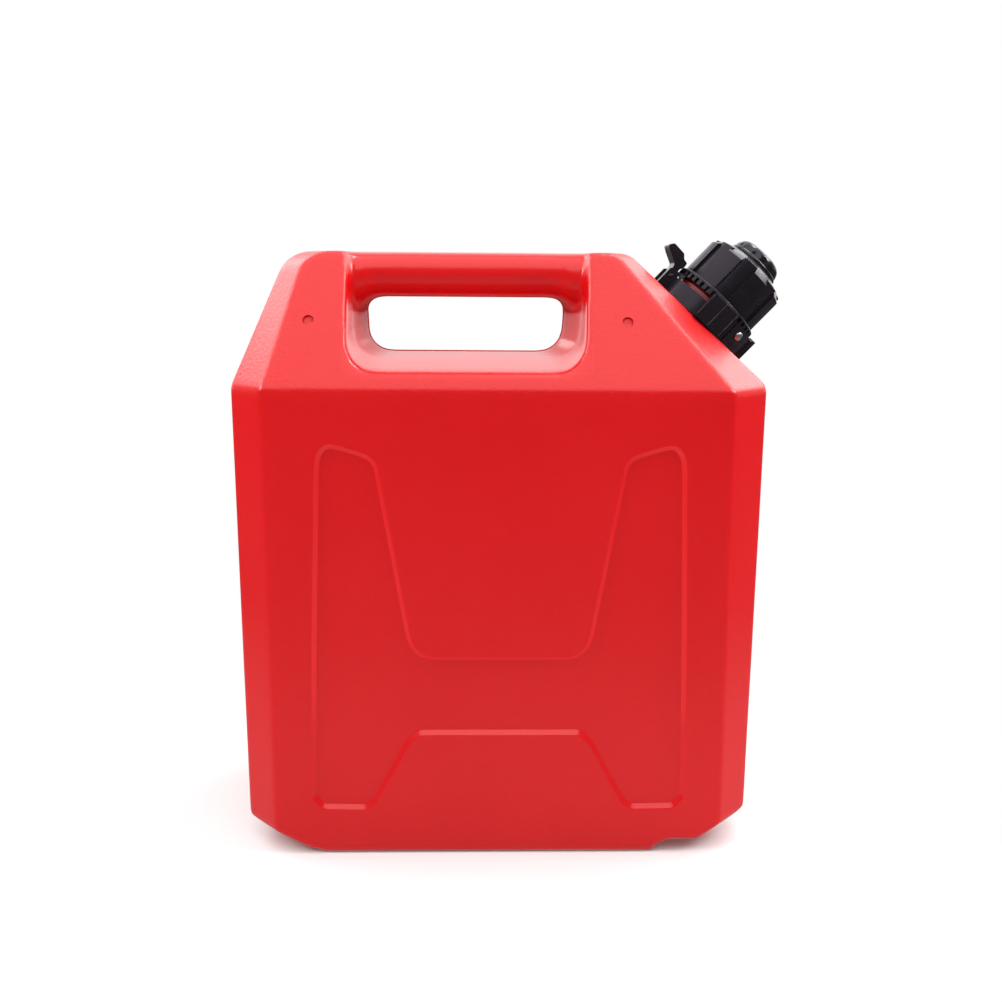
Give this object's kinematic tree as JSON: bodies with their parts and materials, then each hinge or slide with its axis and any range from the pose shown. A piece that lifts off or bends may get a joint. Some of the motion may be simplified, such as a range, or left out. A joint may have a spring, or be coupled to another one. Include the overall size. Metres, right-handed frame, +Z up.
{
  "type": "fuel can",
  "caption": "Upright plastic fuel can with a sloped shoulder, a moulded handle and a slanted neck closed by a locking screw collar over a stored spout.",
  "frame": {"origin": "centre of the tank on the underside of its foot", "axes": "+Z up, +X towards the neck, -Y towards the pictured front"},
  "size_m": [0.3148, 0.1378, 0.3576],
  "materials": {
    "red_shell": "satin, faint orange peel",
    "black_plastic": "satin",
    "gloss_black": "gloss",
    "steel": "plated",
    "gasket_rubber": "matt",
    "liner": "matt foam"
  },
  "bodies": {
    "tank": {"tank_body": "red_shell", "catch_ring": "black_plastic", "ring_rivet": "steel", "lever_pin": "steel", "lever_spring": "steel"},
    "lever": {"release_lever": "black_plastic"},
    "spout": {"pour_spout": "black_plastic", "flange_gasket": "gasket_rubber"},
    "collar": {"screw_collar": "black_plastic"},
    "liner": {"cap_liner": "liner"},
    "cap": {"outlet_cap": "gloss_black"}
  },
  "joints": [
    {"name": "closure_rise", "type": "slide", "parent": "tank", "child": "spout", "axis": [0.6884, 0, 0.7254], "range_m": [0, 0.012]},
    {"name": "collar_turn", "type": "hinge", "parent": "spout", "child": "collar", "pos_m": [0.13765, 0, 0.32996], "axis": [0.6884, 0, 0.7254], "range_deg": [0, 720]},
    {"name": "cap_rise", "type": "slide", "parent": "spout", "child": "liner", "axis": [0.6884, 0, 0.7254], "range_m": [0, 0.0045]},
    {"name": "cap_turn", "type": "hinge", "parent": "liner", "child": "cap", "pos_m": [0.15279, 0, 0.34592], "axis": [0.6884, 0, 0.7254], "range_deg": [0, 540]},
    {"name": "lever_press", "type": "hinge", "parent": "tank", "child": "lever", "pos_m": [0.09935, 0, 0.33667], "axis": [0, -1, 0], "range_deg": [0, 12], "stiffness_Nm_per_rad": 0.3, "deforming": ["lever_spring"]}
  ],
  "couplings": [
    {"joint": "closure_rise", "follows": "collar_turn", "m_per_rad": 0.00095492},
    {"joint": "cap_rise", "follows": "cap_turn", "m_per_rad": 0.00047746}
  ]
}
